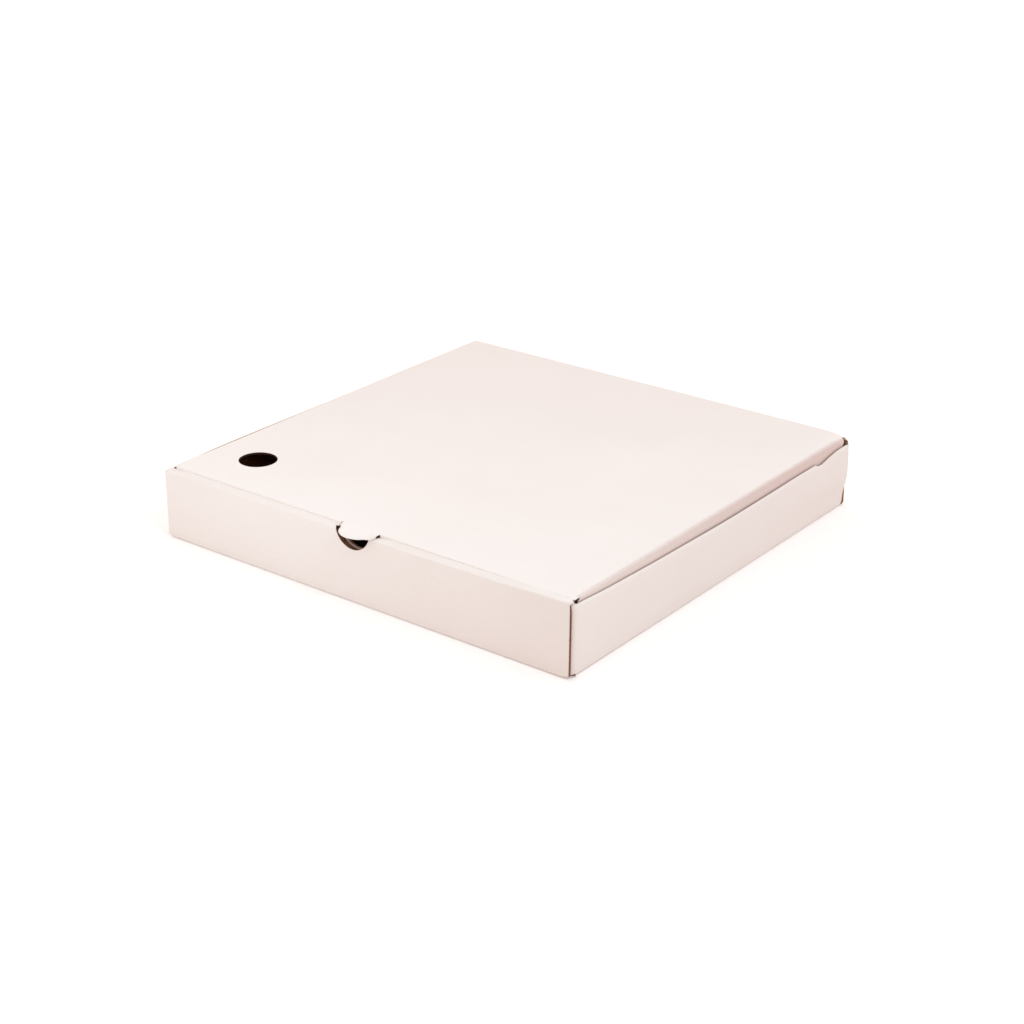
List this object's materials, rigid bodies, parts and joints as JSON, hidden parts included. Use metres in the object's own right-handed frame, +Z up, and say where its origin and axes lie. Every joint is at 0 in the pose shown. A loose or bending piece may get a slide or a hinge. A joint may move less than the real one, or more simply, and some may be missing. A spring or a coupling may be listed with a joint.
{
  "type": "folding pizza box",
  "caption": "Shallow square folding box of white corrugated board, with a hinged tuck-in lid, a round steam vent and a thumb notch at the front.",
  "frame": {"origin": "middle of the tray's underside, on the table", "axes": "+Z up, +X to the right along the front wall, -Y towards the front wall with the thumb notch, +Y towards the hinge"},
  "size_m": [0.305, 0.3131, 0.0475],
  "materials": {
    "tray_board": "matt white clay-coated outside liner, brown kraft inside liner and brown cut edges",
    "lid_board": "matt white clay-coated outside liner, brown kraft inside liner and brown cut edges"
  },
  "bodies": {
    "tray": {"tray": "tray_board"},
    "lid": {"lid": "lid_board"}
  },
  "joints": [
    {"name": "lid_hinge", "type": "hinge", "parent": "tray", "child": "lid", "pos_m": [0, 0.1525, 0.0475], "axis": [-1, 0, 0], "range_deg": [0, 180]}
  ]
}
